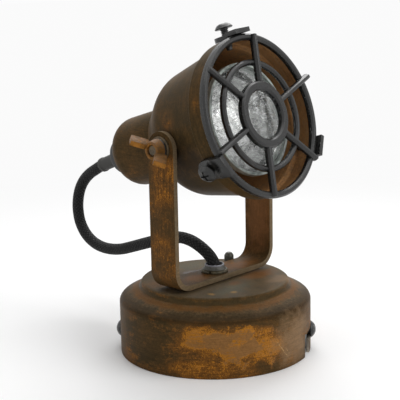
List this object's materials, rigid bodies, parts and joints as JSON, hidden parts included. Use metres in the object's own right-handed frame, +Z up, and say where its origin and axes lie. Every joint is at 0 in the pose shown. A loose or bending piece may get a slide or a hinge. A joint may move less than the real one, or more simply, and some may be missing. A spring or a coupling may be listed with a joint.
{
  "type": "spotlight",
  "caption": "small rusted-steel spotlight with a wire guard on a swivelling U-shaped yoke and a round base canopy, wing-nut tilt, black textile cord",
  "frame": {"origin": "middle of the base's underside, on the plane that the lamp stands on or is screwed to", "axes": "+Z up along the swivel axis, X along the tilt axis with the near arm at -X, head facing -Y"},
  "size_m": [0.0898, 0.1395, 0.1494],
  "materials": {
    "rusted_sheet": "rusted brown patina under a matt varnish, orange in patches",
    "rusted_fastener": "orange rust on steel",
    "charcoal_wire": "charcoal enamel, semi-matt",
    "dark_screw": "blackened steel, worn",
    "zinc": "zinc-plated steel, dull",
    "brass": "plain brass",
    "bush_zinc": "dull cast zinc",
    "terminal_plastic": "white nylon",
    "ceramic": "unglazed white ceramic, with the density of glass",
    "reflector": "facetted silver coating on glass",
    "clear_glass": "clear glass",
    "gland_plastic": "black nylon",
    "sleeve_rubber": "dark grey rubber",
    "textile_cord": "black braided textile",
    "lead_wire": "insulated wire"
  },
  "bodies": {
    "base": {"base_canopy": "rusted_sheet", "mounting_bracket": "zinc", "canopy_screws": "dark_screw", "stop_pin": "dark_screw", "stop_nut": "zinc", "terminal_block": "terminal_plastic", "terminal_screws": "brass", "block_screw": "zinc", "earth_screw": "brass", "base_leads": "lead_wire"},
    "yoke": {"yoke_strap": "rusted_sheet", "swivel_nipple": "zinc", "swivel_washer": "dark_screw", "grip_nut": "rusted_fastener", "cord_bush": "bush_zinc", "under_washer": "zinc", "lock_nut": "zinc", "head_cord": "textile_cord"},
    "head": {"head_shell": "rusted_sheet", "rear_cup": "rusted_sheet", "pivot_bosses": "rusted_sheet", "pivot_bolts": "dark_screw", "pivot_washers": "rusted_fastener", "spring_washers": "dark_screw", "guard_outer_ring": "charcoal_wire", "guard_middle_ring": "charcoal_wire", "guard_inner_ring": "charcoal_wire", "guard_spokes": "charcoal_wire", "guard_tabs": "charcoal_wire", "guard_screws": "dark_screw", "lamp_holder": "ceramic", "holder_screws": "zinc", "bulb_reflector": "reflector", "bulb_lens": "clear_glass", "bulb_capsule": "clear_glass", "bulb_base": "ceramic", "bulb_pins": "zinc", "cord_gland": "gland_plastic", "gland_nut": "gland_plastic", "gland_sleeve": "sleeve_rubber", "lamp_leads": "lead_wire"},
    "wing_near": {"wing_nut_near": "rusted_fastener"},
    "wing_far": {"wing_nut_far": "rusted_fastener"}
  },
  "joints": [
    {"name": "swivel", "type": "hinge", "parent": "base", "child": "yoke", "pos_m": [0, 0, 0.0337], "axis": [0, 0, 1], "range_deg": [-131, 2]},
    {"name": "tilt", "type": "hinge", "parent": "yoke", "child": "head", "pos_m": [0, 0, 0.0974], "axis": [1, 0, 0], "range_deg": [-25, 45], "deforming": ["head_cord"]},
    {"name": "wing_near_turn", "type": "hinge", "parent": "head", "child": "wing_near", "pos_m": [-0.0372, 0, 0.0974], "axis": [-1, 0, 0], "range_deg": [0, 360]},
    {"name": "wing_far_turn", "type": "hinge", "parent": "head", "child": "wing_far", "pos_m": [0.0372, 0, 0.0974], "axis": [1, 0, 0], "range_deg": [0, 360]}
  ]
}
